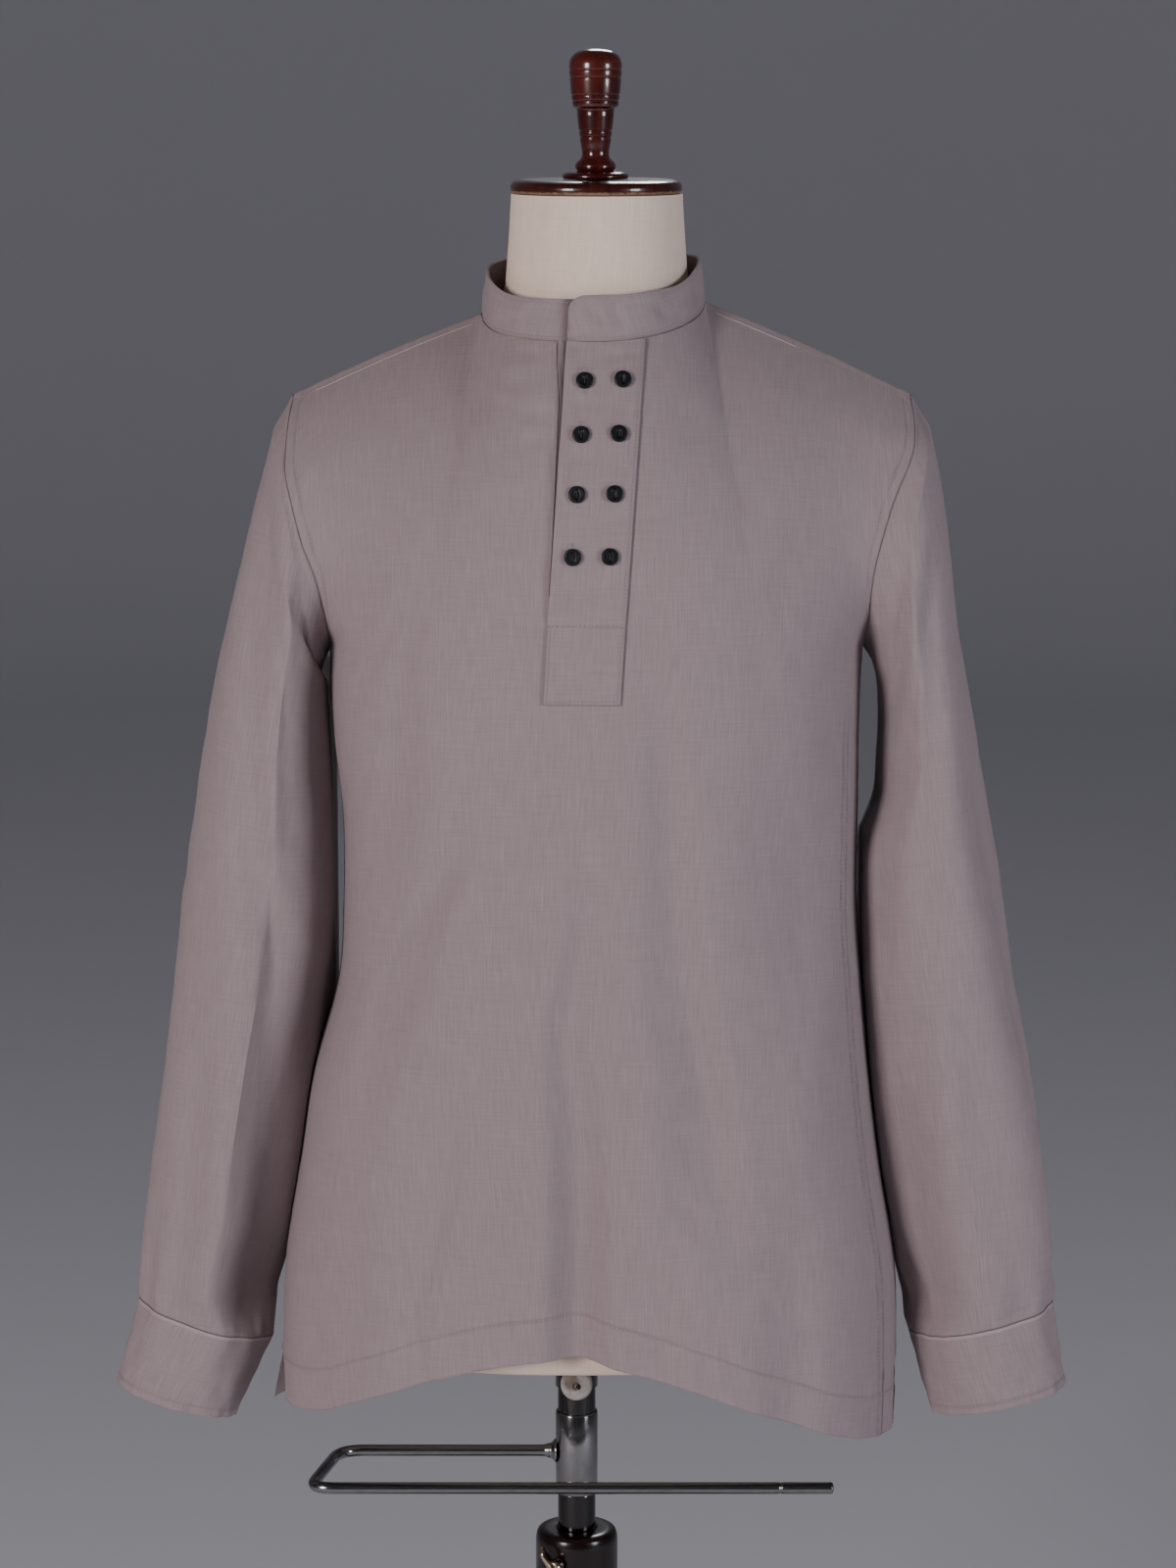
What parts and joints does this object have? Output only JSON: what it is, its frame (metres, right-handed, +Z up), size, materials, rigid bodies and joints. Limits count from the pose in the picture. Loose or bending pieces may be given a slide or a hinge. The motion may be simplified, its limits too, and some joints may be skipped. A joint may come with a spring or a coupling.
{
  "type": "short kurta on a limbless dress form with stand",
  "caption": "Short band-collar kurta with a half placket, long cuffed sleeves and side slits, worn by a cloth-covered dress form on a height-adjustable wooden stand.",
  "frame": {"origin": "on the floor at the centre of the base, under the pole's axis", "axes": "+Z up along the pole, -Y is the chest's side, +X to the right for someone facing the chest"},
  "size_m": [0.664, 0.36, 1.4976],
  "materials": {
    "kurta_cloth": "fine slubby plain weave, mauve taupe, soft sheen",
    "button": "near black with a raised rim",
    "form_cloth": "cream plain linen stretched over the form",
    "dark_wood": "glossy red brown varnish",
    "bright_metal": "bright plated steel",
    "knob": "pale worn paint"
  },
  "bodies": {
    "stand": {"column": "dark_wood", "base": "dark_wood"},
    "mast": {"pole": "bright_metal"},
    "form": {"form_body": "form_cloth", "neck_cap": "dark_wood", "finial": "dark_wood", "socket_collar": "bright_metal", "front": "kurta_cloth", "back": "kurta_cloth", "sleeve_left": "kurta_cloth", "sleeve_right": "kurta_cloth", "cuff_left": "kurta_cloth", "cuff_right": "kurta_cloth", "collar": "kurta_cloth", "placket_over": "kurta_cloth", "placket_under": "kurta_cloth", "button_1_left": "button", "button_1_right": "button", "button_2_left": "button", "button_2_right": "button", "button_3_left": "button", "button_3_right": "button", "button_4_left": "button", "button_4_right": "button"},
    "bar": {"trouser_bar": "bright_metal"},
    "clamp_screw": {"thumb_screw": "bright_metal"},
    "form_knob": {"socket_knob": "knob"}
  },
  "joints": [
    {"name": "column_height", "type": "slide", "parent": "stand", "child": "mast", "axis": [0, 0, 1], "range_m": [-0.02, 0.25]},
    {"name": "form_swivel", "type": "hinge", "parent": "mast", "child": "form", "pos_m": [0, 0, 0.6], "axis": [0, 0, 1], "continuous": true},
    {"name": "bar_swivel", "type": "hinge", "parent": "mast", "child": "bar", "pos_m": [0, 0, 0.522], "axis": [0, 0, 1], "continuous": true},
    {"name": "screw_turn", "type": "hinge", "parent": "stand", "child": "clamp_screw", "pos_m": [0, 0, 0.447], "axis": [-0.4259, -0.9048, 0], "range_deg": [-180, 180]},
    {"name": "knob_turn", "type": "hinge", "parent": "form", "child": "form_knob", "pos_m": [0, 0, 0.577], "axis": [0, -1, 0], "continuous": true}
  ]
}
